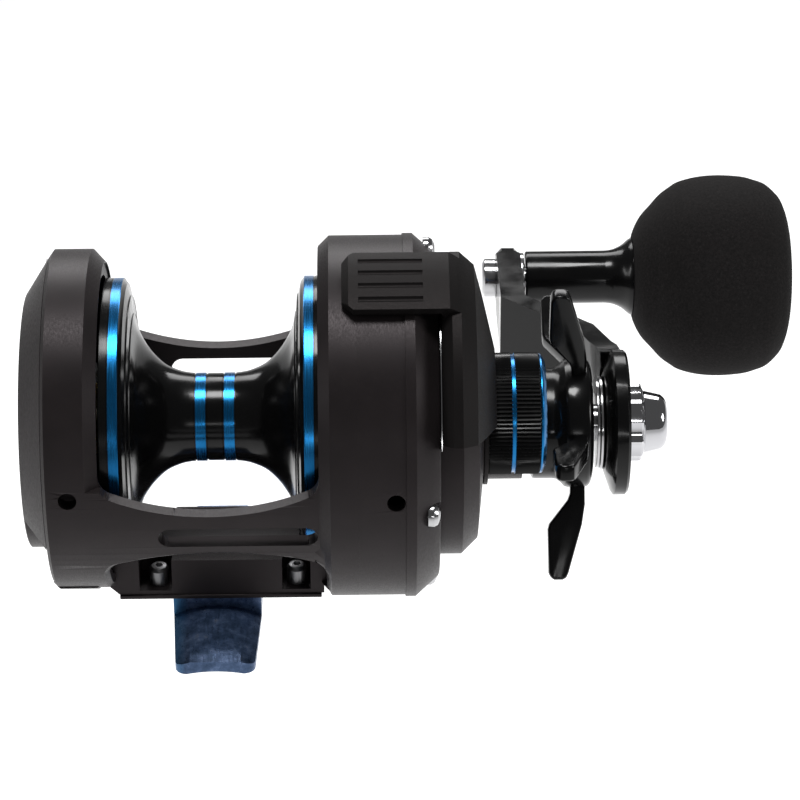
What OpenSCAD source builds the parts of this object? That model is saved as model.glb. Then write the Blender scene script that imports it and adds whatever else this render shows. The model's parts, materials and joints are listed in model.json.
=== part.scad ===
// Star-drag conventional fishing reel.
// X runs along the spool, +X towards the handle; +Y points at the rod tip; +Z is up.
// The origin is on the underside of the reel foot, below the middle of the spool.
// Profiles are lists of [x, r]: a station along the spool axis and a radius.

/* [Frame] */
// Height of the spool axis over the underside of the foot
spool_z = 43.5; // [43:0.1:46]
// Radius of the frame ring on the palm side
palm_ring_r = 36; // [35.5:0.1:36.5]
// Radius of the frame ring on the handle side
gear_ring_r = 38.25; // [37.5:0.05:38.5]
// Inner radius of both frame rings
ring_bore_r = 30.4; // [30.3:0.05:31]
// Inner radius of the bars that join the rings
bar_in_r = 33; // [32:0.1:33.5]

/* [Spool] */
// Radius of the spool flanges
flange_r = 29.8; // [29:0.1:30]
// Half of the spool's length over its flanges
spool_half = 23; // [22:0.1:23]
// Radius of the spool's arbor
arbor_r = 9.4; // [8:0.1:11]
// Radius of the spool shaft
shaft_r = 2; // [1.8:0.1:2]

/* [Gears] */
// Gear module
gear_module = 0.9; // [0.9:0.05:0.95]
// Teeth on the main gear
main_teeth = 47; // [46:1:48]
// Teeth on the pinion
pinion_teeth = 10; // [10:1:11]
// Angle of the handle axis below straight ahead, seen from the spool axis
handle_drop_deg = 36.2; // [34:0.1:38]

/* [Handle] */
// Centre of the handle hub to the knob axis
arm_length = 75; // [65:1:85]
// Angle of the handle arm below straight ahead
arm_drop_deg = 3.5; // [0:0.5:8]
// Radius of the handle's hub
hub_r = 16; // [15:0.1:17]
// Greatest radius of the knob
knob_r = 24.1; // [20:0.1:25]
// Radius to the tips of the star drag
star_tip_r = 34.9; // [32:0.1:36]

/* [Clutch] */
// Outer radius of the thumb pad on the clutch lever
pad_r = 41; // [40.5:0.1:42]
// Angle at which the lever's lower end stands above straight back
lever_low_deg = 21; // [18:1:24]
// Turn of the clutch lever from engaged to free spool
lever_turn_deg = 28; // [20:1:30]
// Travel of the clutch yoke along the spool axis
yoke_travel = 2.4; // [2.2:0.1:2.4]

/* [Foot] */
// Length of the reel foot, front to back
foot_length = 61; // [58:1:66]
// Width of the reel foot
foot_width = 19; // [17:0.1:19]
// Middle of the reel foot along the spool axis
foot_x = -0.6; // [-1:0.1:2]

/* [Hidden] */
$fn = 96;
main_r = gear_module * main_teeth / 2;
pinion_r = gear_module * pinion_teeth / 2;
centre_distance = main_r + pinion_r;
handle_y = centre_distance * cos(handle_drop_deg);
handle_z = -centre_distance * sin(handle_drop_deg);
addendum = 0.85 * gear_module;
dedendum = 1.1 * gear_module;
case_r = main_r + addendum + 0.6;
bulge_r = case_r + 2;
boss_r = 12.2;
cap_r = 13;
knob_turn = -arm_drop_deg;

// ---- shared shapes ----

// A solid of revolution about the X axis from [x, r] points
module turned(points) {
    rotate([0, 90, 0]) rotate_extrude() polygon([for (p = points) [p[1], p[0]]]);
}

// The same between two angles, measured from straight back (-Y) up towards +Z
module turned_arc(points, from_deg, to_deg) {
    rotate([0, 90, 0]) rotate([0, 0, 270 - to_deg])
        rotate_extrude(angle = to_deg - from_deg) polygon([for (p = points) [p[1], p[0]]]);
}

// A plain disc or rod along X
module disc(x0, x1, r) {
    translate([x0, 0, 0]) rotate([0, 90, 0]) cylinder(h = x1 - x0, r = r);
}

module tube(x0, x1, r_out, r_in) {
    difference() {
        disc(x0, x1, r_out);
        disc(x0 - 1, x1 + 1, r_in);
    }
}

// Moves children out along the direction at an angle from straight back
module polar(r, deg) {
    translate([0, -r * cos(deg), r * sin(deg)]) children();
}

module at_spool() {
    translate([0, 0, spool_z]) children();
}

module at_handle() {
    translate([0, handle_y, spool_z + handle_z]) children();
}

// The knob axis, at the end of the handle arm
module at_knob() {
    at_handle() translate([0, arm_length * cos(arm_drop_deg), -arm_length * sin(arm_drop_deg)])
        children();
}

function arc_points(cx, cy, r, a0, a1, steps) =
    [for (i = [0:steps]) let (a = a0 + (a1 - a0) * i / steps) [cx + r * cos(a), cy + r * sin(a)]];

// Straight-flanked stub teeth, close to an involute at a 25 degree pressure angle
module gear_outline(teeth, backlash, phase) {
    pitch_r = gear_module * teeth / 2;
    tooth_deg = 90 / teeth - backlash / pitch_r * 28.6;
    base_r = pitch_r * cos(25);
    roll = function (r) r > base_r ? (tan(acos(base_r / r)) - acos(base_r / r) * PI / 180) * 180 / PI : 0;
    radii = [pitch_r - dedendum, max(base_r, pitch_r - dedendum + 0.1), pitch_r, pitch_r + addendum];
    half = [for (r = radii) tooth_deg + roll(pitch_r) - roll(r)];
    polygon([for (t = [0:teeth - 1], k = [0:7])
        let (side = k < 4 ? -1 : 1, i = k < 4 ? k : 7 - k, a = phase + t * 360 / teeth + side * half[i])
        [radii[i] * cos(a), radii[i] * sin(a)]]);
}

// A gear along X, its first tooth at an angle above straight ahead
module gear(x0, x1, teeth, backlash, phase) {
    translate([x0, 0, 0]) rotate([90, 0, 90]) linear_extrude(x1 - x0)
        gear_outline(teeth, backlash, phase);
}

// ---- frame and side plates ----

// Edge of an opening: a sagging arc with a round corner at each end, from x0 to x1 at height top
function window_points(x0, x1, low, sag_r, corner_r, top) =
    let (mid = (x0 + x1) / 2, half = (x1 - x0) / 2 - corner_r, cy = low + sag_r,
         fillet_y = cy - sqrt(pow(sag_r - corner_r, 2) - half * half),
         meet = atan2(fillet_y - cy, half))
    concat([[x1, top]], arc_points(x1 - corner_r, fillet_y, corner_r, 0, meet, 8),
           arc_points(mid, cy, sag_r, meet, -180 - meet, 24),
           arc_points(x0 + corner_r, fillet_y, corner_r, -180 - meet, -180, 8), [[x0, top]]);

// Cuts an outline drawn in X and Z right through, front to back
module through_cut(points, y0, y1) {
    translate([0, y1, 0]) rotate([90, 0, 0]) linear_extrude(y1 - y0) polygon(points);
}

window_x0 = -23.1;
window_x1 = 22;
window_low = -2.2;
arch_high = -13.2;
rail_bottom = -36;
rail_half_y = 14;
block_x = [-10.1, 13.5];
foot_screw_x = [-13, 16.6];
cap_screw_degs = [124, 172, 220];
cap_screw_r = 31.9;

// A blind hole in the back of a side ring, a little above straight back
module drain_hole(x) {
    rotate([-3, 0, 0]) translate([x, -40, 0]) rotate([-90, 0, 0]) cylinder(h = 7.5, r = 1.9);
}

module frame_shell() {
    turned([[-34.3, ring_bore_r], [-34.3, 35], [-33.6, palm_ring_r], [22, palm_ring_r], [24.3, gear_ring_r],
            [30, gear_ring_r], [30, ring_bore_r], [22.5, ring_bore_r], [22.5, bar_in_r],
            [-23.6, bar_in_r], [-23.6, ring_bore_r]]);
    // the palm ring is deeper at the bottom, where the foot rail joins it
    turned_arc([[-34.5, 30.9], [-34.5, 35], [-33.2, 36.3], [-25.2, 36.3], [-24, 35.4], [-24, 34.2],
                [-33, 34.2], [-33, 30.9]], -130, -50);
}

// Slot through the rear bar, towards the gear side, with round ends
module bar_slot() {
    half = 2.55;
    rotate([12.6, 0, 0]) through_cut(concat(arc_points(-8.6, 0, half, 90, 270, 12),
                                             arc_points(19.1, 0, half, -90, 90, 12)), -42, -26);
}

// Bevel on the palm ring's edge of the spool opening
module palm_bevel() turned_arc([[-25.8, palm_ring_r + 0.2], [-23.05, 33.2], [-22, 33.2],
                                [-22, palm_ring_r + 0.2]], 6, 174);

module foot_rail() {
    difference() {
        translate([-23.5, -rail_half_y, rail_bottom])
            cube([46, 2 * rail_half_y, 12]);
        disc(-24, 23, ring_bore_r + 0.3);
        // pockets for the screw heads, open to the front and rear
        for (side = [-1, 1]) {
            translate([-17.1, side > 0 ? 6 : -20, -35]) cube([17.1 + block_x[0], 14, 12]);
            translate([block_x[1], side > 0 ? 6 : -20, -35]) cube([6.1, 14, 12]);
        }
        // the front edge is lower, out of the line's way
        translate([window_x0, 9.7, -31.7]) cube([window_x1 - window_x0, 8, 12]);
        // corner under the palm ring
        translate([-27.1, -20, -36.5]) rotate([0, 45, 0]) cube([4.38, 40, 4.38]);
        for (x = foot_screw_x, side = [-1, 1])
            translate([x, side * 10.4, -40]) cylinder(h = 12, r = 1.6);
    }
}

module frame() color([0.16, 0.15, 0.15]) at_spool() {
    difference() {
        frame_shell();
        through_cut(window_points(window_x0, window_x1, window_low, 50, 4, 60), -50, 50);
        // lower windows, front and rear: arched on top, square at the bottom
        for (side = [0, 180]) rotate([0, 0, side]) mirror([side / 180, 0, 0])
            through_cut([for (p = window_points(-22, 23.2, -arch_high, 60, 4, 33)) [p[0], -p[1]]],
                        -50, -rail_half_y);
        translate([window_x0, -rail_half_y - 1, -40])
            cube([window_x1 - window_x0, 2 * rail_half_y + 2, 38]);
        palm_bevel();
        for (side = [0, 180]) rotate([0, 0, side]) mirror([side / 180, 0, 0]) bar_slot();
        // drain hole in the back of the palm ring
        drain_hole(-29.2);
        for (deg = cap_screw_degs)
            polar(cap_screw_r, deg) disc(-35, -29.5, 1.05);
    }
    foot_rail();
}

// Palm-side cover with the bearing seat and the click button's slot
module palm_side_cap() color([0.14, 0.13, 0.13]) at_spool() difference() {
    union() {
        difference() {
            turned([[-39.5, 0], [-39.5, 26.9], [-34.4, 34.9], [-34.4, ring_bore_r - 0.05],
                    [-30.5, ring_bore_r - 0.05], [-30.5, 26.6], [-37.2, 26.6], [-37.2, 0]]);
            turned_arc([[-40, 27.3], [-40, 40], [-34, 40], [-34, 27.3]], -131, -20);
        }
        tube(-37.3, -27.3, 7.4, 5.02);
    }
    disc(-36.9, -27, 5.02);
    // slot for the click button
    translate([-41, click_y - click_travel - 1.9, -1.7]) cube([5, click_travel + 3.8, 3.4]);
    for (deg = cap_screw_degs) polar(cap_screw_r, deg) {
        disc(-40, -33, 1.2);
        disc(-40, -35, 2.3);
    }
}

module palm_cap_screws() color("silver") at_spool()
    for (deg = cap_screw_degs) polar(cap_screw_r, deg) difference() {
        union() {
            disc(-35.1, -29.7, 1.0);
            disc(-35.9, -35.05, 2.1);
        }
        rotate([90, 0, 90]) translate([0, 0, -37]) cylinder(h = 1.5, r = 1, $fn = 6);
    }

// A small ball bearing with its shield grooves
module bearing(x0, x1, bore_r, out_r) {
    turned([[x0, bore_r], [x0, bore_r + 0.9], [x0 + 0.25, bore_r + 0.95], [x0 + 0.25, out_r - 0.85],
            [x0, out_r - 0.8], [x0, out_r], [x1, out_r], [x1, out_r - 0.8],
            [x1 - 0.25, out_r - 0.85], [x1 - 0.25, bore_r + 0.95], [x1, bore_r + 0.9], [x1, bore_r]]);
}

module palm_bearing() color("gainsboro") at_spool() bearing(-32.4, -28.4, shaft_r + 0.04, 5);

module palm_spacer() color("darkorange") at_spool() disc(-36.8, -35.9, 4.6);

// ---- clicker ----

module click_gear() color("goldenrod") at_spool() difference() {
    translate([-26.9, 0, 0]) rotate([90, 0, 90]) linear_extrude(1.6)
        polygon([for (t = [0:23], k = [0:3]) let (a = t * 15 + [-4, -1.6, 1.6, 4][k])
            [(k == 0 || k == 3 ? 6.4 : 7.5) * cos(a), (k == 0 || k == 3 ? 6.4 : 7.5) * sin(a)]]);
    disc(-28, -24, shaft_r);
}

click_y = 18.2;
click_travel = 2.4;

module click_tongue() color("darkgray") at_spool() difference() {
    union() {
        translate([-26.9, 10.2, -1.2]) cube([1.6, 8, 2.4]);
        translate([0, click_y, 0]) disc(-27.2, -25.3, 2.6);
    }
    translate([0, click_y, 0]) disc(-28, -25, 1.1);
}

module click_button() color("dimgray") at_spool() translate([0, click_y, 0]) {
    disc(-37.1, -25.3, 1.1);
    translate([-40.1, -1.6, -1.6]) cube([3, 3.2, 3.2]);
    turned([[-41.3, 0], [-41.3, 2.6], [-40.6, 3.2], [-39.7, 3.2], [-39.7, 0]]);
}

// Hairpin spring that holds the tongue on or off
module click_spring() color("silver") at_spool() translate([0, click_y, 0])
    for (side = [-1, 1]) translate([-36.6, 0, side * 5.4]) rotate([90, 0, 0])
        translate([0, 0, -3.2]) cylinder(h = 9, r = 0.5);

// ---- spool ----

module spool() color([0.06, 0.06, 0.07]) at_spool() {
    outer = [[0, arbor_r], [3.5, arbor_r], [7.4, 9.9], [10.4, 11.2], [12.9, 13.4], [14.8, 15.9],
             [16.2, 18.6], [17.1, 21.6], [17.6, 25], [18.3, 28.6], [19, flange_r - 0.4],
             [19.2, flange_r], [spool_half, flange_r]];
    inner = [[spool_half, 28.2], [20.6, 27.6], [19.4, 24.5], [18.4, 20], [16.9, 16.6],
             [14.4, 13.4], [11.6, 10.6], [9, 8.6], [9, shaft_r]];
    right = concat(outer, inner);
    left = [for (i = [len(right) - 1:-1:1]) [-right[i][0], right[i][1]]];
    turned(concat(right, left));
}

module spool_shaft() color("silver") at_spool() difference() {
    turned([[-35.7, 0], [-35.7, 1.2], [-35.2, shaft_r], [60.2, shaft_r], [60.7, 1.2], [60.7, 0]]);
    translate([33, -5, 0]) rotate([-90, 0, 0]) cylinder(h = 10, r = 0.8);
}

// Cross pin that couples the spool shaft to the pinion
module spool_drive_pin() color("gray") at_spool()
    translate([33, -3.1, 0]) rotate([-90, 0, 0]) cylinder(h = 6.2, r = 0.8);

module plate_bearing() color("gainsboro") at_spool() bearing(27.2, 31.2, shaft_r + 0.04, 5);

module neck_bearing() color("gainsboro") at_spool() bearing(55.2, 59.2, shaft_r + 0.04, 5);

module pinion() color("khaki") at_spool() difference() {
    union() {
        disc(32.1, 35.2, 4.2);
        disc(35, 37.6, 2.9);
        disc(37.4, 38.8, 3.55);
        gear(38.6, 46.8, pinion_teeth, 0.16, -handle_drop_deg + 180 / pinion_teeth);
        disc(46.8, 49.4, 3.1);
    }
    disc(31, 51, shaft_r + 0.08);
    translate([31, -5, -1]) cube([3.1, 10, 2]);
}

// ---- gear side ----

cover_screw_degs = [-4.5, 117, 288];
cover_screw_r = 35.15;
post_degs = [106, -34];
post_r = 12.5;

// Gear case outline: a round lobe about the handle axis, blended into the round plate
module case_lobe(x0, x1, r, chamfer) hull() {
    $fn = 64;
    at_lobe() disc(x0, x1 - chamfer, r);
    at_lobe() disc(x0, x1, r - chamfer);
    disc(x0, x1 - chamfer, 30 + r - bulge_r);
    disc(x0, x1, 30 + r - bulge_r - chamfer);
}

module at_lobe() translate([0, handle_y, handle_z]) children();

module gear_side_plate() color([0.17, 0.16, 0.16]) at_spool() difference() {
    union() {
        disc(30, 39.8, gear_ring_r);
        case_lobe(30.6, 39.8, bulge_r, 0);
        disc(26.2, 30.2, ring_bore_r - 0.05);
        disc(24.6, 26.3, 12);
    }
    disc(24, 32, 3.2);
    disc(27.2, 33, 5.02);
    disc(32.8, 40, 35.4);
    case_lobe(32.8, 41, case_r, 0);
    at_lobe() disc(29.6, 34, 4.02);
    // hollow on the spool side, to save weight
    difference() {
        disc(24, 28.6, 28.4);
        disc(24, 29, 12);
    }
    drain_hole(37.7);
    for (deg = cover_screw_degs) polar(cover_screw_r, deg) disc(30.4, 41, 1);
}

// Plain bearing for the inner end of the gear shaft
module shaft_bush() color("peru") at_handle() tube(29.8, 32.8, 4, 3.04);

module cover_body() difference() {
    union() {
        turned([[39.8, 0], [39.8, 38.6], [41.9, 38.6], [46.6, 34.4], [46.9, 33.8], [46.9, 0]]);
        case_lobe(39.85, 46.7, bulge_r, 1.4);
    }
    // the hollow leaves a pillar for each cover screw
    difference() {
        union() {
            disc(39, 44.9, 34.6);
            case_lobe(39.2, 44.7, case_r, 0);
        }
        for (deg = cover_screw_degs) polar(cover_screw_r, deg) disc(38, 46, 3.7);
    }
}

module gear_cover() color([0.15, 0.14, 0.14]) at_spool() difference() {
    union() {
        cover_body();
        turned([[46, 0], [46, 29.7], [51.7, 29.7], [55.1, 26.4], [56.3, 15.6], [56.3, 0]]);
        disc(56.2, 57.3, 13.2);
        disc(56.2, 66, 9.6);
        at_lobe() disc(46, 66, boss_r);
    }
    // gear box cavity inside the boss, open towards the plate
    disc(44, 54.3, 17.5);
    at_lobe() disc(43.5, 54.6, 10.4);
    // the neck that holds the outer bearing and the cast-control spacer
    disc(53, 67, 3.4);
    disc(54.8, 67, 5.02);
    // one-way clutch seat in the handle boss
    at_lobe() disc(54.2, 64.4, 9.02);
    at_lobe() disc(64, 67, 6.6);
    // arc slot that lets the lever's pegs reach the clutch cam
    turned_arc([[53.5, peg_r - 1.4], [53.5, peg_r + 1.4], [57.6, peg_r + 1.4], [57.6, peg_r - 1.4]],
               peg_degs[0] - lever_turn_deg - 5.5, peg_degs[1] + 5.5);
    for (deg = cover_screw_degs) polar(cover_screw_r, deg) {
        disc(39, 48, 1.15);
        disc(44.15, 48, 2.7);
    }
}

peg_r = 15;
peg_degs = [58, 86];

module cover_screws() color("silver") at_spool()
    for (deg = cover_screw_degs) polar(cover_screw_r, deg) difference() {
        union() {
            disc(30.6, 44.3, 0.98);
            turned([[44.2, 0], [44.2, 2.55], [45.4, 2.55], [46.2, 2.1], [46.7, 1.2], [46.8, 0]]);
        }
        rotate([90, 0, 90]) translate([0, 0, 45.4]) cylinder(h = 2, r = 1.1, $fn = 6);
    }

// ---- clutch ----

yoke_x = [35.36, 37.24];

module clutch_yoke() color("darkkhaki") at_spool() difference() {
    union() {
        turned_arc([[yoke_x[0], 3.05], [yoke_x[0], 6.4], [yoke_x[1], 6.4], [yoke_x[1], 3.05]], -58, 130);
        for (deg = post_degs) {
            rotate([-deg, 0, 0]) translate([yoke_x[0], -post_r, -1.6])
                cube([yoke_x[1] - yoke_x[0], post_r - 5, 3.2]);
            polar(post_r, deg) disc(yoke_x[0], yoke_x[1], 3);
        }
    }
    for (deg = post_degs) polar(post_r, deg) disc(30, 40, 1.32);
}

module yoke_posts() color("silver") at_spool()
    for (deg = post_degs) polar(post_r, deg) disc(32.8, 44.7, 1.25);

// Springs drawn at the length they have with the lever down
module yoke_springs() color("gray") at_spool()
    for (deg = post_degs, i = [0:4]) polar(post_r, deg)
        translate([40.4 + i, 0, 0]) rotate([0, 90, 0]) rotate_extrude() translate([2, 0]) circle(r = 0.4);

module clutch_cam() color("gray") at_spool() {
    tube(50.4, 53.6, 13.2, 3.7);
    for (deg = peg_degs) {
        rotate([-deg, 0, 0]) translate([50.4, -peg_r, -2]) cube([3.2, 4, 4]);
        polar(peg_r, deg) disc(50.4, 56.55, 1.15);
    }
}

lever_high_deg = 89.5;
pad_degs = [62.5, 85.6];

module clutch_lever() color([0.17, 0.17, 0.17]) at_spool() {
    // shell that wraps the gear box boss
    turned_arc([[47.3, 30.2], [52, 30.2], [55.6, 26.8], [56.6, 15.4], [56.6, 13.4], [59, 13.4],
                [59, 16], [56.2, 29], [54.4, 36.3], [51.3, 39.4], [49.4, 39.4], [47.3, 36.5]],
               lever_low_deg, lever_high_deg);
    // open ring that turns on the collar of the cover
    turned_arc([[56.6, 13.3], [56.6, 15.1], [57.4, 15.1], [57.4, 13.3]], -80, 188);
    // thumb pad over the side plate
    turned_arc([[27, 39], [27, 40], [28.4, pad_r], [49, pad_r], [51.3, 39.4], [48, 36.6], [47.3, 39]],
               pad_degs[0], pad_degs[1]);
}

module lever_shim() color("silver") at_spool()
    turned_arc([[46.94, 30], [46.94, 36], [47.14, 36], [47.14, 30]], lever_low_deg - 2, lever_high_deg);

// ---- gear shaft and drag ----

module gear_shaft() color("silver") at_handle()
    turned([[29.9, 0], [29.9, 3], [33, 3], [33, 7.5], [38.9, 7.5], [38.9, 5], [44.34, 5], [44.34, 4],
            [83.7, 4], [83.7, 3.6], [89.2, 3.6], [89.2, 2.9], [96, 2.9], [96, 0]]);

module main_gear() color("goldenrod") at_handle() difference() {
    union() {
        gear(39, 43.4, main_teeth, 0.16, 180 - handle_drop_deg);
        disc(43.3, 44.2, 19);
    }
    disc(38, 45, 5.03);
    disc(40.15, 45, 17.3);
}

module carbon_washers() color([0.1, 0.1, 0.1]) at_handle()
    for (x = [40.22, 41.56, 42.9]) tube(x, x + 0.6, 17.1, 5.2);

module steel_washers() color("silver") at_handle()
    for (x = [40.89, 42.23]) tube(x, x + 0.6, 17.1, 5.2);

module pressure_plate() color("silver") at_handle() tube(43.57, 44.3, 17.1, 5.1);

module pressure_sleeve() color("silver") at_handle() tube(44.95, 67.2, 6, 4.06);

// One-way roller clutch that stops the handle from turning back
module roller_clutch() color("gray") at_handle() difference() {
    tube(55, 64.3, 8.98, 6.06);
    for (i = [0:7]) rotate([45 * i, 0, 0]) translate([56.5, 8.2, -0.5]) cube([6, 2, 1]);
}

module boss_seal() color([0.1, 0.1, 0.1]) at_handle() tube(64.5, 66.2, 6.55, 6.1);

module spring_washers() color("silver") at_handle() for (k = [0, 1])
    translate([68.25, 0, 0]) mirror([k, 0, 0])
        turned([[0.04, 7.4], [0.45, 7.4], [0.9, 4.2], [0.5, 4.2]]);

module star_nut() color("goldenrod") at_handle() difference() {
    rotate([0, 90, 0]) translate([0, 0, 69.4]) cylinder(h = 8, r = 8, $fn = 6);
    disc(69, 78, 4.05);
}

star_thickness = 3.6;

module star_arm()
    translate([0, star_thickness / 2, 0]) rotate([90, 0, 0]) linear_extrude(star_thickness)
        polygon([[76.6, 9], [76.6, 15.6], [72.4, 20.6], [71.6, 22.4], [71.7, 31.6], [72.4, 33.8],
                 [73.7, star_tip_r], [75.2, star_tip_r - 0.6], [76.3, star_tip_r - 2.2],
                 [79.4, 21.4], [79.9, 15], [79.9, 9]]);

module star_wheel() color([0.05, 0.05, 0.05]) at_handle() difference() {
    union() {
        turned([[68.1, 8.9], [68.1, 11.6], [68.7, boss_r], [73.2, boss_r], [75.6, 14.2], [80.4, 14.2],
                [81.3, 12.6], [81.3, 4.2], [78.6, 4.2], [78.6, 8.9]]);
        // arms start pointing down and to the rear, a fifth of a turn apart
        for (i = [0:4]) rotate([72 * i - star_down_deg, 0, 0]) mirror([0, 0, 1]) star_arm();
    }
    disc(67, 78.6, 8.4);
}

star_down_deg = 31.2;

module arm_washers() color("white") at_handle() {
    tube(82.3, 82.95, 10, 4.1);
    tube(83.1, 83.72, 10.4, 4.1);
}

// ---- handle ----

// Turns children so that local Y runs along the handle arm
module along_arm() at_handle() rotate([knob_turn, 0, 0]) children();

module handle_arm() color([0.05, 0.05, 0.05]) along_arm() difference() {
    union() {
        turned([[83.8, 0], [83.8, 9.8], [85.6, 15.2], [86.2, hub_r], [88.6, hub_r], [89.2, hub_r - 0.6],
                [89.2, 0]]);
        intersection() {
            // crank seen from above: out at the hub, in at the knob
            linear_extrude(40, center = true)
                polygon([[83.8, 8], [83.8, 17], [79.8, 30.5], [63.7, 48.5], [63.7, 84], [69.4, 84],
                         [69.4, 49.2], [84, 32.6], [88.4, 19], [89.2, 8]]);
            // blade seen from the end of the reel: tapering to a round end
            translate([60, 0, 0]) rotate([90, 0, 90]) linear_extrude(40) {
                polygon([[8, -13.4], [14, -10.8], [22, -9], [34, -8.1], [arm_length, -7.2],
                         [arm_length, 7.2], [34, 8.1], [22, 9], [14, 10.8], [8, 13.4]]);
                translate([arm_length, 0]) circle(r = 7.2);
            }
        }
    }
    disc(80, 90, 3.65);
    translate([0, arm_length, 0]) disc(60, 75, 3.05);
}

module handle_nut() color("silver") at_handle() difference() {
    union() {
        intersection() {
            turned([[89.25, 0], [89.25, 8.6], [92, 8.6], [92.8, 7.2], [92.8, 0]]);
            for (a = [0, 30]) rotate([a, 0, 0]) rotate([0, 90, 0]) translate([0, 0, 89])
                cylinder(h = 4, r = 8.6, $fn = 6);
        }
        turned([[92.6, 0], [92.6, 6.7], [96.9, 5.9], [97.9, 4.9], [98.2, 3.4], [98.2, 0]]);
    }
    disc(89, 96.3, 2.95);
}

module knob_shaft() color("silver") at_knob()
    turned([[60.4, 0], [60.4, 3.6], [61, 4.6], [63.6, 4.6], [63.6, 3], [69.4, 3], [69.4, 2.5],
            [127.6, 2.5], [127.6, 0]]);

module knob_collar() color("silver") at_knob() tube(69.5, 70.4, 6, 2.55);

module knob_sleeve() color([0.03, 0.03, 0.03]) at_knob() difference() {
    turned([[70.7, 3.2], [70.7, 5.9], [71, 6.3], [90.4, 6.3], [93.4, 7.2], [96.2, 9.3], [96.2, 8.2],
            [128.2, 8.2], [128.2, 3.2]]);
    disc(69, 76.1, 4.4);
    disc(122.9, 129, 4.4);
}

module knob_bushes() color("peru") at_knob() {
    tube(71.1, 76, 4.35, 2.56);
    tube(123, 127.9, 4.35, 2.56);
}

// Soft foam knob, round about its shaft
module knob_grip() color([0.12, 0.12, 0.12]) at_knob() difference() {
    turned([[96.4, 0], [96.4, 9.6], [97, 11.6], [98.6, 14.6], [101.1, 17.4], [103.2, 19.7],
            [105.5, 21.4], [107.7, 22.7], [112, knob_r - 0.3], [117, knob_r], [122.5, knob_r - 0.3],
            [125.6, 23], [128.2, 22], [130.5, 20], [132, 17.9], [133.4, 13.5], [134, 7], [134, 0]]);
    disc(96, 128.4, 8.22);
}

// ---- cast control ----

module cast_cap() color([0.08, 0.08, 0.08]) at_spool() difference() {
    disc(57.6, 69.4, cap_r);
    disc(57, 66.6, 9.68);
    // seat of the end ring
    difference() {
        disc(68.5, 70, cap_r + 1);
        disc(68.4, 71, 10.4);
    }
    for (i = [0:71]) rotate([5 * i, 0, 0]) translate([57, cap_r - 0.12, 0]) rotate([45, 0, 0])
        translate([0, -0.25, -0.25]) cube([13, 0.5, 0.5]);
}

module cast_cap_ring() color("deepskyblue") at_spool()
    turned([[68.55, 10.45], [68.55, 12.7], [69, 12.7], [69.8, 11.2], [69.8, 10.45]]);

module cast_spacer() color("darkorange") at_spool() disc(60.8, 66.5, 4.9);

// ---- foot ----

module foot_plate() color([0.12, 0.12, 0.12]) at_spool() difference() {
    translate([-21.4, -14.4, -37]) cube([43.35, 28.8, 0.96]);
    for (x = foot_screw_x, side = [-1, 1])
        translate([x, side * 10.4, -40]) cylinder(h = 8, r = 1.22);
    for (x = foot_stud_x) translate([x, 0, -40]) cylinder(h = 8, r = 1.85);
}

foot_stud_x = [foot_x - 5, foot_x + 5];
foot_rear = 33;
foot_front = foot_length - foot_rear;

module reel_foot() color([0.12, 0.2, 0.35]) {
    difference() {
        intersection() {
            translate([foot_x - foot_width / 2, 0, 0]) rotate([90, 0, 90]) linear_extrude(foot_width)
                polygon([[-13, 6.45], [-16.5, 5.4], [-18.9, 4], [-foot_rear, 3], [-foot_rear, 0],
                         [foot_front, 0], [foot_front, 3], [18.9, 4], [16.5, 5.4], [13, 6.45]]);
            // crown across the foot and narrowing, rounded ends
            union() {
                translate([foot_x, -50, -14.8]) rotate([-90, 0, 0]) cylinder(h = 100, r = 18.6);
                translate([foot_x - 10, -13, 0]) cube([20, 26, 7]);
            }
            translate([foot_x, 0, -1]) linear_extrude(10) foot_outline();
        }
        // the arms are hollowed underneath to sit on a rod's round seat
        for (side = [-1, 1]) translate([foot_x, side > 0 ? 14 : -60, -29.4]) rotate([-90, 0, 0])
            cylinder(h = 46, r = 30);
    }
    for (x = foot_stud_x) translate([x, 0, 6]) cylinder(h = spool_z - 36.1 - 6, r = 1.8);
}

module foot_outline() {
    half = foot_width / 2;
    tip = half - 1;
    polygon([[-half, -12], [-tip, 2.5 - foot_rear], [2.5 - tip, -foot_rear],
             [tip - 2.5, -foot_rear], [tip, 2.5 - foot_rear], [half, -12], [half, 12],
             [tip, foot_front - 2.5], [tip - 2.5, foot_front], [2.5 - tip, foot_front],
             [-tip, foot_front - 2.5], [-half, 12]]);
    for (x = [-1, 1], y = [2.5 - foot_rear, foot_front - 2.5])
        translate([x * (tip - 2.5), y]) circle(r = 2.5);
}

module foot_screws() color("silver") at_spool()
    for (x = foot_screw_x, y = [-10.4, 10.4]) translate([x, y, 0]) difference() {
        union() {
            translate([0, 0, -36.9]) cylinder(h = 3, r = 1.2);
            rotate_extrude() polygon([[0, -34.95], [2.15, -34.95], [2.15, -31.6], [1.6, -30.9], [0, -30.6]]);
        }
        translate([0, 0, -32]) cylinder(h = 2, r = 0.9, $fn = 6);
    }

frame();
palm_side_cap();
palm_cap_screws();
palm_bearing();
palm_spacer();
click_gear();
click_tongue();
click_button();
click_spring();
spool();
spool_shaft();
spool_drive_pin();
plate_bearing();
neck_bearing();
gear_side_plate();
gear_cover();
cover_screws();
pinion();
clutch_yoke();
yoke_posts();
yoke_springs();
clutch_cam();
clutch_lever();
lever_shim();
gear_shaft();
shaft_bush();
main_gear();
carbon_washers();
steel_washers();
pressure_plate();
pressure_sleeve();
roller_clutch();
boss_seal();
spring_washers();
star_nut();
star_wheel();
arm_washers();
handle_arm();
handle_nut();
knob_shaft();
knob_collar();
knob_sleeve();
knob_grip();
knob_bushes();
cast_cap();
cast_cap_ring();
cast_spacer();
foot_plate();
reel_foot();
foot_screws();
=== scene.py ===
# Star-drag fishing reel: finishes, detailed pieces, studio and camera.
import json
import math

import bmesh
import bpy
from mathutils import Matrix, Vector


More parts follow.
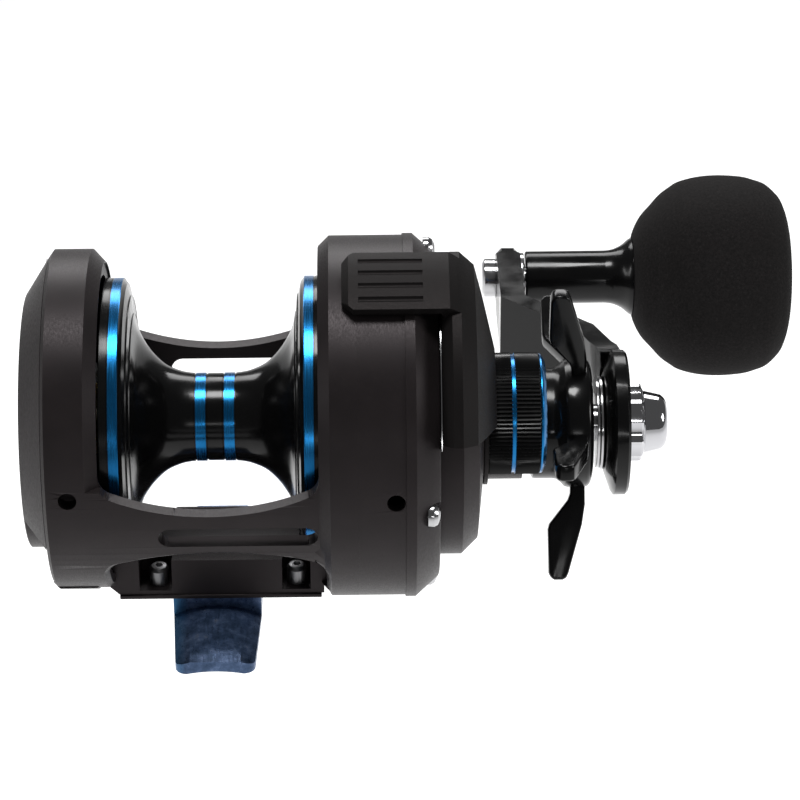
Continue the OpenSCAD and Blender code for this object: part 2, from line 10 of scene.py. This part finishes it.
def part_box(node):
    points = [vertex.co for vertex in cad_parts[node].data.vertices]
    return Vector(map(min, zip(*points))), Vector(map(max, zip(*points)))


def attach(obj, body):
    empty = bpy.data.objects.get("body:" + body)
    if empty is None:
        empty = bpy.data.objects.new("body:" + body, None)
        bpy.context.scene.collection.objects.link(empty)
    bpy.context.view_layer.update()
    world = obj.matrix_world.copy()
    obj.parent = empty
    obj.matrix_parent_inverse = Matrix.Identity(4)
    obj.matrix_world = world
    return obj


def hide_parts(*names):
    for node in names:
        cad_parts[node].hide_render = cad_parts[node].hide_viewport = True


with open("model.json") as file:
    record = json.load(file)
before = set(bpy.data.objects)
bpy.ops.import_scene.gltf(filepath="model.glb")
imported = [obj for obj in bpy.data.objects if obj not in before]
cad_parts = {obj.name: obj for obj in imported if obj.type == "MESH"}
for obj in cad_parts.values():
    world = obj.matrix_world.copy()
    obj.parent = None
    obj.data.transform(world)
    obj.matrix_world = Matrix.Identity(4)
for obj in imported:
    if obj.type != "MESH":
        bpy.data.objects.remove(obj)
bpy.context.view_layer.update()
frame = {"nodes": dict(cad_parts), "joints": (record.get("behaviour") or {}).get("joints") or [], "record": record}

MM = 0.001
JOINTS = {j["name"]: j for j in frame["joints"]}
SPOOL_AXIS = Vector(JOINTS["spool_spin"]["pos_m"])
HANDLE_AXIS = Vector(JOINTS["handle_crank"]["pos_m"])
KNOB_AXIS = Vector(JOINTS["knob_spin"]["pos_m"])
NODE_SLOT = {s["node"]: s["material_slot"] for s in frame["record"]["subparts"]}


# ---- materials ----

def new_material(name, color, roughness, metallic=0.0, coat=0.0, coat_roughness=0.1, specular=0.5,
                 tint=(1, 1, 1)):
    """A plain surface that the finish functions add their detail to."""
    mat = bpy.data.materials.new(name)
    mat.use_nodes = True
    bsdf = mat.node_tree.nodes["Principled BSDF"]
    bsdf.inputs["Base Color"].default_value = (*color, 1)
    bsdf.inputs["Roughness"].default_value = roughness
    bsdf.inputs["Metallic"].default_value = metallic
    bsdf.inputs["Coat Weight"].default_value = coat
    bsdf.inputs["Coat Roughness"].default_value = coat_roughness
    bsdf.inputs["Specular IOR Level"].default_value = specular
    bsdf.inputs["Specular Tint"].default_value = (*tint, 1)
    return mat, mat.node_tree, bsdf


def object_coords(tree, centre=(0, 0, 0), stretch=(1, 1, 1), turn=(0, 0, 0)):
    """Object coordinates in millimetres, moved to a centre and stretched."""
    coords = tree.nodes.new("ShaderNodeTexCoord")
    mapping = tree.nodes.new("ShaderNodeMapping")
    mapping.vector_type = "POINT"
    mapping.inputs["Scale"].default_value = [1000 * s for s in stretch]
    mapping.inputs["Location"].default_value = [-1000 * c * s for c, s in zip(centre, stretch)]
    mapping.inputs["Rotation"].default_value = turn
    tree.links.new(coords.outputs["Object"], mapping.inputs["Vector"])
    return mapping.outputs["Vector"]


def noise(tree, vector, scale, detail=3.0, roughness=0.5):
    node = tree.nodes.new("ShaderNodeTexNoise")
    node.inputs["Scale"].default_value = scale
    node.inputs["Detail"].default_value = detail
    node.inputs["Roughness"].default_value = roughness
    tree.links.new(vector, node.inputs["Vector"])
    return node.outputs["Fac"]


def ramp(tree, value, stops):
    """Colours along a value: a list of (position, (r, g, b))."""
    node = tree.nodes.new("ShaderNodeValToRGB")
    elements = node.color_ramp.elements
    while len(elements) < len(stops):
        elements.new(0.5)
    for element, (place, color) in zip(elements, stops):
        element.position = place
        element.color = (*color, 1)
    tree.links.new(value, node.inputs["Fac"])
    return node.outputs["Color"]


def spread(tree, value, low, high, from_low=0.3, from_high=0.7):
    """Maps a noise value to a range of numbers."""
    node = tree.nodes.new("ShaderNodeMapRange")
    node.inputs["From Min"].default_value = from_low
    node.inputs["From Max"].default_value = from_high
    node.inputs["To Min"].default_value = low
    node.inputs["To Max"].default_value = high
    tree.links.new(value, node.inputs["Value"])
    return node.outputs["Result"]


def add_bump(tree, bsdf, height, strength, distance_mm):
    node = tree.nodes.new("ShaderNodeBump")
    node.inputs["Strength"].default_value = strength
    node.inputs["Distance"].default_value = distance_mm * MM
    tree.links.new(height, node.inputs["Height"])
    tree.links.new(node.outputs["Normal"], bsdf.inputs["Normal"])


def machined_black(name="satin_black_anodised"):
    """Satin black anodised, with the faint grain of turning and of bead blasting."""
    mat, tree, bsdf = new_material(name, (0.014, 0.012, 0.012), 0.4, specular=0.22, tint=(1, 0.9, 0.93))
    grain = noise(tree, object_coords(tree, stretch=(1, 0.25, 0.25)), 5.0, 5.0, 0.65)
    cloud = noise(tree, object_coords(tree), 0.09, 2.0)
    tint = ramp(tree, cloud, [(0.3, (0.0112, 0.0092, 0.0096)), (0.7, (0.0168, 0.0138, 0.0142))])
    tree.links.new(tint, bsdf.inputs["Base Color"])
    tree.links.new(spread(tree, grain, 0.34, 0.52), bsdf.inputs["Roughness"])
    add_bump(tree, bsdf, grain, 0.12, 0.03)
    return mat


def polished_black(name, rough=0.12):
    """Glossy black anodised, with fine rings left by the lathe."""
    mat, tree, bsdf = new_material(name, (0.004, 0.004, 0.0042), rough, coat=0.05,
                                   coat_roughness=0.08, specular=0.22)
    rings = noise(tree, object_coords(tree, stretch=(1, 0.02, 0.02)), 6.0, 3.0)
    smears = noise(tree, object_coords(tree), 0.15, 4.0)
    tree.links.new(spread(tree, smears, rough * 0.7, rough * 1.7), bsdf.inputs["Roughness"])
    add_bump(tree, bsdf, rings, 0.05, 0.02)
    return mat


def anodised_blue(name="azure_anodised"):
    mat, tree, bsdf = new_material(name, (0.008, 0.13, 0.36), 0.22, metallic=0.9)
    rings = noise(tree, object_coords(tree, stretch=(1, 0.02, 0.02)), 9.0, 3.0)
    shade = ramp(tree, noise(tree, object_coords(tree), 0.12, 2.0),
                 [(0.3, (0.006, 0.13, 0.34)), (0.7, (0.013, 0.18, 0.45))])
    tree.links.new(shade, bsdf.inputs["Base Color"])
    tree.links.new(spread(tree, rings, 0.16, 0.3), bsdf.inputs["Roughness"])
    add_bump(tree, bsdf, rings, 0.1, 0.02)
    return mat


def scuffed_navy(name="navy_anodised"):
    """Dark navy anodised foot, mottled and rubbed by rod seats; its left edge is painted a lighter blue, a painted
    highlight.
    """
    mat, tree, bsdf = new_material(name, (0.02, 0.05, 0.12), 0.35, metallic=0.75)
    mottle = noise(tree, object_coords(tree), 0.35, 6.0, 0.7)
    scuffs = noise(tree, object_coords(tree, stretch=(1, 0.15, 0.4), turn=(0, 0, 0.3)), 2.2, 5.0, 0.7)
    shade = ramp(tree, mottle, [(0.3, (0.025, 0.05, 0.1)), (0.5, (0.06, 0.1, 0.19)),
                                (0.62, (0.11, 0.165, 0.29)), (0.75, (0.25, 0.28, 0.36))])
    # Painted highlight: towards the foot's left edge (x below -6.8 mm) the colour is mixed with a lighter blue
    # that stands in for light.
    sides = tree.nodes.new("ShaderNodeSeparateXYZ")
    tree.links.new(object_coords(tree), sides.inputs["Vector"])
    edge = spread(tree, sides.outputs["X"], 0.75, 0.0, -9.6, -6.8)
    painted_highlight_mix = tree.nodes.new("ShaderNodeMix")
    painted_highlight_mix.data_type = "RGBA"
    painted_highlight_mix.inputs["B"].default_value = (0.02, 0.14, 0.3, 1)
    tree.links.new(edge, painted_highlight_mix.inputs["Factor"])
    tree.links.new(shade, painted_highlight_mix.inputs["A"])
    tree.links.new(painted_highlight_mix.outputs["Result"], bsdf.inputs["Base Color"])
    tree.links.new(spread(tree, scuffs, 0.22, 0.5), bsdf.inputs["Roughness"])
    add_bump(tree, bsdf, scuffs, 0.15, 0.04)
    return mat


def moulded_black(name="moulded_black_plastic"):
    mat, tree, bsdf = new_material(name, (0.0072, 0.0066, 0.0066), 0.5, specular=0.13, tint=(1, 0.9, 0.9))
    spark = noise(tree, object_coords(tree), 4.0, 3.0, 0.6)
    tree.links.new(spread(tree, spark, 0.42, 0.6), bsdf.inputs["Roughness"])
    add_bump(tree, bsdf, spark, 0.25, 0.04)
    return mat


def knob_foam(name="closed_cell_foam"):
    """Matt foam with a fine open speckle on its skin."""
    mat, tree, bsdf = new_material(name, (0.014, 0.013, 0.013), 0.9, specular=0.12)
    cells = tree.nodes.new("ShaderNodeTexVoronoi")
    cells.inputs["Scale"].default_value = 2.4
    tree.links.new(object_coords(tree), cells.inputs["Vector"])
    speckle = noise(tree, object_coords(tree), 1.6, 5.0, 0.75)
    shade = ramp(tree, speckle, [(0.35, (0.008, 0.0075, 0.0075)), (0.6, (0.015, 0.0135, 0.0135)),
                                 (0.72, (0.026, 0.024, 0.023))])
    tree.links.new(shade, bsdf.inputs["Base Color"])
    add_bump(tree, bsdf, cells.outputs["Distance"], 0.35, 0.08)
    return mat


def bright_metal(name, color=(0.72, 0.72, 0.73), rough=0.12):
    mat, tree, bsdf = new_material(name, color, rough, metallic=1.0)
    rings = noise(tree, object_coords(tree, stretch=(1, 0.04, 0.04)), 8.0, 3.0)
    tree.links.new(spread(tree, rings, rough * 0.7, rough * 1.6), bsdf.inputs["Roughness"])
    add_bump(tree, bsdf, rings, 0.06, 0.02)
    return mat


def plain_finish(name, color, rough, metallic):
    """Inner pieces: an even colour with a little wear in its gloss."""
    mat, tree, bsdf = new_material(name, color, rough, metallic=metallic)
    wear = noise(tree, object_coords(tree), 0.8, 4.0, 0.6)
    tree.links.new(spread(tree, wear, rough * 0.8, rough * 1.3), bsdf.inputs["Roughness"])
    add_bump(tree, bsdf, wear, 0.05, 0.03)
    return mat


FINISH = {
    "anodised_black": machined_black(),
    "spool_black": polished_black("polished_spool_black", 0.16),
    "anodised_blue": anodised_blue(),
    "foot_blue": scuffed_navy(),
    "gloss_black": polished_black("polished_handle_black", 0.15),
    "knurled_black": polished_black("knurled_black_anodised", 0.25),
    "lever_plastic": moulded_black(),
    "knob_foam": knob_foam(),
    "nut_chrome": bright_metal("polished_chrome", (0.56, 0.56, 0.58), 0.07),
    "polished_steel": bright_metal("polished_stainless", (0.5, 0.5, 0.51), 0.14),
    "steel": bright_metal("turned_stainless", (0.2, 0.2, 0.205), 0.34),
    "gear_brass": plain_finish("machined_brass", (0.6, 0.42, 0.16), 0.28, 1.0),
    "carbon": plain_finish("dry_carbon_fibre", (0.02, 0.02, 0.02), 0.5, 0.0),
    "seal_rubber": plain_finish("seal_rubber", (0.015, 0.015, 0.015), 0.7, 0.0),
    "spacer_plastic": plain_finish("turned_spacer_plastic", (0.6, 0.3, 0.08), 0.4, 0.0),
}


# ---- ways of making pieces ----

def only(obj):
    """Makes one object the active and only selected one."""
    if bpy.context.object and bpy.context.object.mode != "OBJECT":
        bpy.ops.object.mode_set(mode="OBJECT")
    bpy.ops.object.select_all(action="DESELECT")
    obj.select_set(True)
    bpy.context.view_layer.objects.active = obj


def apply_modifier(obj, kind, **settings):
    only(obj)
    modifier = obj.modifiers.new(kind.lower(), kind)
    for key, value in settings.items():
        setattr(modifier, key, value)
    bpy.ops.object.modifier_apply(modifier=modifier.name)


def round_edges(obj, width_mm, segments=2, angle=30):
    apply_modifier(obj, "BEVEL", width=width_mm * MM, segments=segments, limit_method="ANGLE",
                   angle_limit=math.radians(angle), use_clamp_overlap=True, harden_normals=False)


def smooth(obj, angle=35):
    only(obj)
    bpy.ops.object.shade_smooth_by_angle(angle=math.radians(angle))


def finish_piece(obj, body, slot, nodes=(), material=None):
    """Gives a new piece its finish and says which body it rides on and which nodes it stands for."""
    if material is None:
        material = FINISH[slot]
    if not obj.data.materials:
        obj.data.materials.append(material)
    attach(obj, body)
    if nodes:
        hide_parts(*nodes)
    return obj


def body_of(node):
    return next(b for b, members in frame["record"]["behaviour"]["bodies"].items() if node in members)


def copy_of(node):
    """A merged copy of a CAD node's mesh, to be finished as a piece that stands for it."""
    obj = bpy.data.objects.new("finished_" + node, frame["nodes"][node].data.copy())
    bpy.context.scene.collection.objects.link(obj)
    obj.data.materials.clear()
    only(obj)
    bpy.ops.object.mode_set(mode="EDIT")
    bpy.ops.mesh.select_all(action="SELECT")
    bpy.ops.mesh.remove_doubles(threshold=0.002 * MM)
    bpy.ops.object.mode_set(mode="OBJECT")
    return obj


def softened(node, width_mm, segments=2, angle=28, shape=None):
    """Stands for a machined node: a merged copy of its mesh with small round edges."""
    obj = copy_of(node)
    if shape:
        shape(obj)
    round_edges(obj, width_mm, segments, angle)
    smooth(obj)
    apply_modifier(obj, "WEIGHTED_NORMAL", keep_sharp=True, weight=80)
    return finish_piece(obj, body_of(node), NODE_SLOT[node], [node])


def carve(obj, cutter):
    """Cuts one piece out of another."""
    apply_modifier(obj, "BOOLEAN", operation="DIFFERENCE", solver="EXACT", object=cutter)
    bpy.data.objects.remove(cutter)


def rod(start, end, radius_mm, sides=16):
    """A plain round bar between two points, in metres."""
    start, end = Vector(start), Vector(end)
    bpy.ops.object.select_all(action="DESELECT")
    bpy.ops.mesh.primitive_cylinder_add(vertices=sides, radius=radius_mm * MM, depth=(end - start).length,
                                        location=(start + end) / 2,
                                        rotation=(end - start).to_track_quat("Z", "Y").to_euler())
    bpy.ops.object.transform_apply(location=True, rotation=True, scale=True)
    return bpy.context.object


def on_spool(x, r, deg):
    """A point from its station and radius in mm and its angle from straight back, up over the top."""
    a = math.radians(deg)
    return Vector((x * MM, SPOOL_AXIS.y - r * math.cos(a) * MM, SPOOL_AXIS.z + r * math.sin(a) * MM))


def bevel_where(obj, test, width_mm, segments=1, sharp_deg=25):
    """Bevels the sharp edges whose middle passes a test of (x, r, angle from straight back)."""
    only(obj)
    bpy.ops.object.mode_set(mode="EDIT")
    bpy.ops.mesh.select_mode(type="EDGE")
    bpy.ops.mesh.select_all(action="DESELECT")
    mesh = bmesh.from_edit_mesh(obj.data)
    for edge in mesh.edges:
        if len(edge.link_faces) == 2 and edge.calc_face_angle(0) > math.radians(sharp_deg):
            middle = (edge.verts[0].co + edge.verts[1].co) / 2
            dy, dz = middle.y - SPOOL_AXIS.y, middle.z - SPOOL_AXIS.z
            edge.select_set(test(middle.x / MM, math.hypot(dy, dz) / MM,
                                 math.degrees(math.atan2(dz, -dy))))
    bmesh.update_edit_mesh(obj.data)
    bpy.ops.mesh.bevel(offset=width_mm * MM, offset_type="OFFSET", segments=segments, profile=0.5,
                       affect="EDGES", clamp_overlap=False)
    bpy.ops.object.mode_set(mode="OBJECT")


def lathe(name, profile, axis, steps=96):
    """Spins a closed or open profile of (x, r) points, in mm, about an axis that runs along X."""
    bpy.ops.object.select_all(action="DESELECT")
    bpy.ops.mesh.primitive_plane_add(size=MM, location=(0, 0, 0))
    obj = bpy.context.object
    obj.name = name
    bpy.ops.object.mode_set(mode="EDIT")
    bpy.ops.mesh.merge(type="CENTER")
    x, r = profile[0]
    bpy.ops.transform.translate(value=(x * MM, axis.y, axis.z + r * MM))
    for (x0, r0), (x1, r1) in zip(profile, profile[1:]):
        step = ((x1 - x0) * MM, 0, (r1 - r0) * MM)
        bpy.ops.mesh.extrude_vertices_move(TRANSFORM_OT_translate={"value": step})
    bpy.ops.mesh.select_all(action="SELECT")
    bpy.ops.mesh.spin(steps=steps, angle=math.tau, center=(0, axis.y, axis.z), axis=(1, 0, 0))
    bpy.ops.mesh.select_all(action="SELECT")
    bpy.ops.mesh.remove_doubles(threshold=0.005 * MM)
    bpy.ops.mesh.normals_make_consistent(inside=False)
    bpy.ops.object.mode_set(mode="OBJECT")
    return obj


def arc(cx, cr, radius, start, end, steps):
    """Points of (x, r) along a round stretch."""
    return [(cx + radius * math.cos(math.radians(start + (end - start) * i / steps)),
             cr + radius * math.sin(math.radians(start + (end - start) * i / steps)))
            for i in range(steps + 1)]


def curve_through(points, steps=6):
    """A smooth profile through a few points, by Catmull-Rom."""
    out = []
    for i in range(len(points) - 1):
        p0 = points[max(i - 1, 0)]
        p1, p2 = points[i], points[i + 1]
        p3 = points[min(i + 2, len(points) - 1)]
        for k in range(steps):
            t = k / steps
            out.append(tuple(0.5 * (2 * b + (c - a) * t + (2 * a - 5 * b + 4 * c - d) * t * t
                                    + (3 * b - a - 3 * c + d) * t ** 3)
                             for a, b, c, d in zip(p0, p1, p2, p3)))
    return out + [points[-1]]


# ---- spool and its bands ----

FLANGE_R = (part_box("spool")[1].z - SPOOL_AXIS.z) / MM
SPOOL_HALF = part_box("spool")[1].x / MM


def paint_bands(obj, material, bands, axis):
    """Gives a second finish to faces that lie in bands of (x low, x high, r low, r high), in mm."""
    obj.data.materials.append(material)
    for face in obj.data.polygons:
        x = abs(face.center.x) / MM
        r = math.hypot(face.center.y - axis.y, face.center.z - axis.z) / MM
        if any(x0 < x < x1 and r0 < r < r1 for x0, x1, r0, r1 in bands):
            face.material_index = 1


def spool():
    """One turned piece: dished flanges, two blue bands on the rims and two on the arbor."""
    arbor = 9.4
    half = [(0, arbor - 0.1), (1.6, arbor - 0.1), (1.7, arbor - 0.3), (1.9, arbor - 0.3), (1.95, arbor),
            (4.1, arbor), (4.15, arbor - 0.25), (4.35, arbor - 0.25), (4.4, arbor - 0.02)]
    dish = curve_through([(5.2, 9.45), (7.4, 9.9), (10.4, 11.2), (12.9, 13.4), (14.8, 15.9),
                          (16.2, 18.6), (17.0, 21.6)], 4)
    rim = [(17.1, 21.9), (17.0, 22.05), (17.0, 22.25), (17.2, 22.4), (17.6, 25.6), (17.5, 25.8),
           (17.5, 26.0), (17.75, 26.15), (18.3, 28.6), (18.9, 29.35), (19.05, FLANGE_R - 0.1),
           (19.2, FLANGE_R - 0.03), (21.05, FLANGE_R - 0.03), (21.1, FLANGE_R - 0.2),
           (21.3, FLANGE_R - 0.2), (21.35, FLANGE_R - 0.03), (SPOOL_HALF - 0.15, FLANGE_R - 0.03),
           (SPOOL_HALF, FLANGE_R - 0.2)]
    back = [(SPOOL_HALF, 28.2), (20.6, 27.6), (19.4, 24.5), (18.4, 20), (16.9, 16.6), (14.4, 13.4),
            (11.6, 10.6), (9, 8.6), (9, 2.0)]
    right = half + dish + rim + back
    left = [(-x, r) for x, r in reversed(right)][:-1]
    obj = lathe("spool_finished", left + right + [left[0]], SPOOL_AXIS, 128)
    obj.data.materials.append(FINISH["spool_black"])
    paint_bands(obj, FINISH["anodised_blue"],
                [(19.0, 21.1, 29.0, 31), (1.93, 4.12, 9.2, 9.6)], SPOOL_AXIS)
    smooth(obj, 25)
    finish_piece(obj, "spool", "spool_black", ["spool"])


# ---- knob ----

def knob():
    """Foam knob: a round loaf about the sleeve, hollow where the sleeve runs in."""
    low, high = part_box("knob_grip")
    start, end, top = low.x / MM, high.x / MM, (high.z - KNOB_AXIS.z) / MM
    skin = curve_through([(start, 8.3), (start, 9.4), (97.0, 11.5), (98.6, 14.5), (101.1, 17.3),
                          (103.2, 19.6), (105.5, 21.3), (107.7, 22.6), (112, 23.7), (117, top - 0.03),
                          (122.5, 23.7), (125.6, 22.9), (128.2, 21.9), (130.5, 19.9), (132, 17.8),
                          (133.3, 13.6), (end - 0.05, 7), (end, 0.0)], 4)
    skin = [(min(max(x, start), end), min(r, top)) for x, r in skin]
    obj = lathe("foam_knob", skin + [(128.4, 0.0), (128.4, 8.24), (start, 8.24)],
                KNOB_AXIS, 96)
    smooth(obj, 50)
    finish_piece(obj, "knob", "knob_foam", ["knob_grip"])


def knob_sleeve():
    low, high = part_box("knob_sleeve")
    start, flare_r = low.x / MM, (high.z - KNOB_AXIS.z) / MM
    outer = [(start, 5.7), *arc(start + 0.5, 5.8, 0.5, 180, 90, 4), (89.6, 6.3)]
    flare = curve_through([(89.9, 6.31), (91.8, 6.6), (93.8, 7.5), (95.4, 8.8), (96.2, flare_r - 0.02)], 5)
    obj = lathe("knob_sleeve_finished", [(start, 3.3), *outer, *flare, (96.2, 8.2), (128.1, 8.2),
                                         (128.1, 3.3), (start, 3.3)], KNOB_AXIS, 96)
    smooth(obj, 30)
    finish_piece(obj, "knob", "gloss_black", ["knob_sleeve"])


# ---- cast control ----

def cast_cap():
    """Knurled cap: fine ridges along the axis, cut by a blue groove and a plain end."""
    low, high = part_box("cast_cap")
    start, end, top = low.x / MM, high.x / MM, (high.z - SPOOL_AXIS.z) / MM
    ridges = 88
    steps = ridges * 4
    groove = 62.9
    profile = [(start, 9.75), (start, top - 0.4), (start + 0.25, top - 0.05), (groove - 0.45, top - 0.05),
               (groove - 0.33, top - 0.45), (groove + 0.33, top - 0.45), (groove + 0.45, top - 0.05),
               (68.3, top - 0.05), (68.5, top - 0.4), (68.5, 10.42), (end - 0.25, 10.42), (end, 10.1),
               (end, 0), (66.7, 0), (66.7, 9.75), (start, 9.75)]
    obj = lathe("cast_cap_finished", profile, SPOOL_AXIS, steps)
    for v in obj.data.vertices:
        dy, dz = v.co.y - SPOOL_AXIS.y, v.co.z - SPOOL_AXIS.z
        r = math.hypot(dy, dz)
        if r > (top - 0.1) * MM:
            place = round(math.atan2(dz, dy) / math.tau * steps) % 4
            cut = (0.0, 0.2, 0.5, 0.2)[place] * MM
            v.co.y -= dy / r * cut
            v.co.z -= dz / r * cut
    obj.data.materials.append(FINISH["knurled_black"])
    paint_bands(obj, FINISH["anodised_blue"], [(groove - 0.42, groove + 0.42, top - 0.5, top - 0.2)],
                SPOOL_AXIS)
    smooth(obj, 20)
    finish_piece(obj, "cast_control", "knurled_black", ["cast_cap"])



# ---- star drag ----

def outline_bar(name, points, thickness_mm, origin, turn_deg, rounding_mm):
    """A flat bar: an outline of (x, reach) in mm with rounded edges, turned about the handle axis."""
    bpy.ops.object.select_all(action="DESELECT")
    mesh = bpy.data.meshes.new(name)
    half = thickness_mm / 2 * MM
    rows = [[(x * MM, side * half, -reach * MM) for x, reach in points] for side in (-1, 1)]
    count = len(points)
    faces = [list(range(count)), [count + i for i in reversed(range(count))]]
    faces += [[(i + 1) % count, i, count + i, count + (i + 1) % count] for i in range(count)]
    mesh.from_pydata(rows[0] + rows[1], [], faces)
    obj = bpy.data.objects.new(name, mesh)
    bpy.context.scene.collection.objects.link(obj)
    only(obj)
    bpy.ops.object.mode_set(mode="EDIT")
    bpy.ops.mesh.select_all(action="SELECT")
    bpy.ops.mesh.normals_make_consistent(inside=False)
    bpy.ops.object.mode_set(mode="OBJECT")
    round_edges(obj, rounding_mm, 3, 35)
    obj.matrix_world = Matrix.Translation(origin) @ Matrix.Rotation(math.radians(turn_deg), 4, "X")
    only(obj)
    bpy.ops.object.transform_apply(location=True, rotation=True, scale=True)
    return obj


def join(parts):
    bpy.ops.object.select_all(action="DESELECT")
    for part in parts:
        part.select_set(True)
    bpy.context.view_layer.objects.active = parts[0]
    bpy.ops.object.join()
    return parts[0]


def star():
    """Five rounded paddles on a turned hub; the first points down and to the rear."""
    hub = lathe("star_finished", [(68.1, 8.9), (68.1, 11.6), (68.35, 12.05), (68.8, 12.2), (72.6, 12.2),
                                  (73.6, 12.35), (74.6, 13.1), (75.4, 14.0), (76.1, 14.2), (79.9, 14.2),
                                  (80.5, 14.0), (81.0, 13.4), (81.3, 12.6), (81.3, 4.25), (78.6, 4.25),
                                  (78.6, 8.9), (68.1, 8.9)], HANDLE_AXIS, 96)
    paddle = [(76.9, 9.3), (76.6, 15.6), (76.1, 17.0), (72.0, 22.2), (71.65, 23.4), (71.75, 33.0),
              (72.2, 34.1), (73.0, 34.55), (74.8, 34.55), (75.6, 34.1), (76.1, 33.1), (79.2, 22.4),
              (79.9, 18.0), (79.9, 9.3)]
    down = 31.2
    arms = [outline_bar("paddle", paddle, 3.55, HANDLE_AXIS, 72 * i - down, 0.55) for i in range(5)]
    obj = join([hub] + arms)
    smooth(obj, 32)
    finish_piece(obj, "star", "gloss_black", ["star_wheel"])


# ---- handle nut ----

def handle_nut():
    """Chrome nut: a fluted flange under a plain tapering cap."""
    flutes = 12
    steps = flutes * 8
    obj = lathe("nut_finished", [(89.25, 2.95), (89.25, 8.2), (89.5, 8.55), (92.1, 8.55), (92.5, 8.25),
                                 (92.7, 7.4), (93.0, 6.9), (96.0, 6.2), (96.8, 6.0), (97.5, 5.4),
                                 (97.9, 4.7), (98.1, 3.8), (98.15, 0), (96.2, 0), (96.2, 2.95),
                                 (89.25, 2.95)], HANDLE_AXIS, steps)
    for v in obj.data.vertices:
        dy, dz = v.co.y - HANDLE_AXIS.y, v.co.z - HANDLE_AXIS.z
        r = math.hypot(dy, dz)
        if v.co.x < 92.6 * MM and r > 8.1 * MM:
            turn = math.atan2(dz, dy) / math.tau * flutes % 1
            cut = 0.75 * abs(math.sin(turn * math.pi)) ** 0.8 * MM
            v.co.y -= dy / r * cut
            v.co.z -= dz / r * cut
    smooth(obj, 32)
    finish_piece(obj, "handle", "nut_chrome", ["handle_nut"])


spool()
knob()
knob_sleeve()
cast_cap()
star()
handle_nut()

# ---- machined and moulded pieces ----

def shape_frame(obj):
    """A bright bevel runs round the arch of the lower windows."""
    bevel_where(obj, lambda x, r, deg: -22.5 < x < 23.5 and 35.6 < r < 38 and
                (-62 < deg < -19 or -161 < deg < -118), 1.1)


def shape_plate(obj):
    """A fine joint line runs round the plate where it meets the frame."""
    edge = (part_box("frame")[1].z - SPOOL_AXIS.z) / MM
    carve(obj, lathe("joint_line", [(29.9, edge - 0.7), (30.2, edge - 0.7), (30.2, edge + 2),
                                    (29.9, edge + 2), (29.9, edge - 0.7)], SPOOL_AXIS, 96))


def shape_arm(obj):
    """The arm's end is chamfered round the knob shaft."""
    bevel_where(obj, lambda x, r, deg: r > 96, 1.4)


def shape_lever(obj):
    """Grooves for the thumb across the pad, and clipped outer corners."""
    for deg in (81.3, 76.2, 71.1, 66.0):
        carve(obj, rod(on_spool(30.4, 41.25, deg), on_spool(43.6, 41.25, deg), 0.75))
    for deg in (85.6, 62.5):
        carve(obj, rod(on_spool(27, 37, deg), on_spool(27, 44, deg), 2.4, sides=4))


MACHINED = {"palm_side_cap": 0.3, "gear_cover": 0.35,
            "reel_foot": 0.35, "foot_plate": 0.2, "cast_cap_ring": 0.12, "cover_screws": 0.1,
            "foot_screws": 0.12, "knob_shaft": 0.25, "knob_collar": 0.15, "arm_washers": 0.1,
            "click_button": 0.3, "palm_cap_screws": 0.1}
for node, width in MACHINED.items():
    softened(node, width)
softened("frame", 0.25, shape=shape_frame)
softened("gear_side_plate", 0.15, shape=shape_plate)
softened("handle_arm", 0.8, shape=shape_arm)
softened("clutch_lever", 0.45, shape=shape_lever)

for node, obj in frame["nodes"].items():
    for s in obj.material_slots:
        s.material = FINISH[NODE_SLOT[node]]


# ---- studio and camera ----

def studio():
    """Pale floor and soft lamps."""
    bpy.ops.object.select_all(action="DESELECT")
    bpy.ops.mesh.primitive_plane_add(size=12, location=(0, 0, -0.25))
    floor = bpy.context.object
    floor.name = "studio_floor"
    mat, tree, bsdf = new_material("pale_floor", (0.9, 0.9, 0.9), 0.9, specular=0.0)
    bsdf.inputs["Emission Color"].default_value = (1, 1, 1, 1)
    bsdf.inputs["Emission Strength"].default_value = 0.5
    floor.data.materials.append(mat)

    world = bpy.data.worlds.new("soft_room")
    world.use_nodes = True
    world.node_tree.nodes["Background"].inputs["Color"].default_value = (1, 1, 1, 1)
    world.node_tree.nodes["Background"].inputs["Strength"].default_value = 0.1
    bpy.context.scene.world = world

    def softbox(name, place, aim, size, power, length=None):
        light = bpy.data.lights.new(name, "AREA")
        light.energy = power
        light.shape = "RECTANGLE"
        light.size = size
        light.size_y = length or size
        lamp = bpy.data.objects.new(name, light)
        bpy.context.scene.collection.objects.link(lamp)
        lamp.location = place
        lamp.rotation_euler = (Vector(aim) - Vector(place)).to_track_quat("-Z", "Y").to_euler()

    middle = (0.03, 0, 0.04)
    softbox("top_softbox", (0.0, 0.02, 0.95), middle, 0.25, 5)
    softbox("back_softbox", (0.0, 0.75, 0.5), middle, 0.9, 5, 0.3)
    softbox("left_softbox", (-0.85, -0.1, 0.35), middle, 0.14, 1.2, 0.4)
    softbox("right_softbox", (0.9, -0.2, 0.4), middle, 0.3, 2.5)
    softbox("low_softbox", (0.1, -0.95, 0.25), middle, 0.3, 0.35, 0.06)


def camera():
    """Above and behind the angler's side, with a long lens."""
    elevation, roll = math.radians(31.2), math.radians(-0.65)
    distance, across = 0.700, 0.0295
    data = bpy.data.cameras.new("view_camera")
    data.sensor_width = 36
    data.lens = 148.05
    data.shift_x, data.shift_y = 0.05625, 0.01875
    data.clip_start, data.clip_end = 0.01, 20
    cam = bpy.data.objects.new("view_camera", data)
    bpy.context.scene.collection.objects.link(cam)
    back = Vector((0, -math.cos(elevation), math.sin(elevation)))
    cam.location = Vector((across, SPOOL_AXIS.y, SPOOL_AXIS.z)) + back * distance
    cam.rotation_euler = ((-back).to_track_quat("-Z", "Y") @
                          Matrix.Rotation(roll, 3, "Z").to_quaternion()).to_euler()
    bpy.context.scene.camera = cam


studio()
camera()
bpy.context.scene.view_settings.view_transform = "Standard"
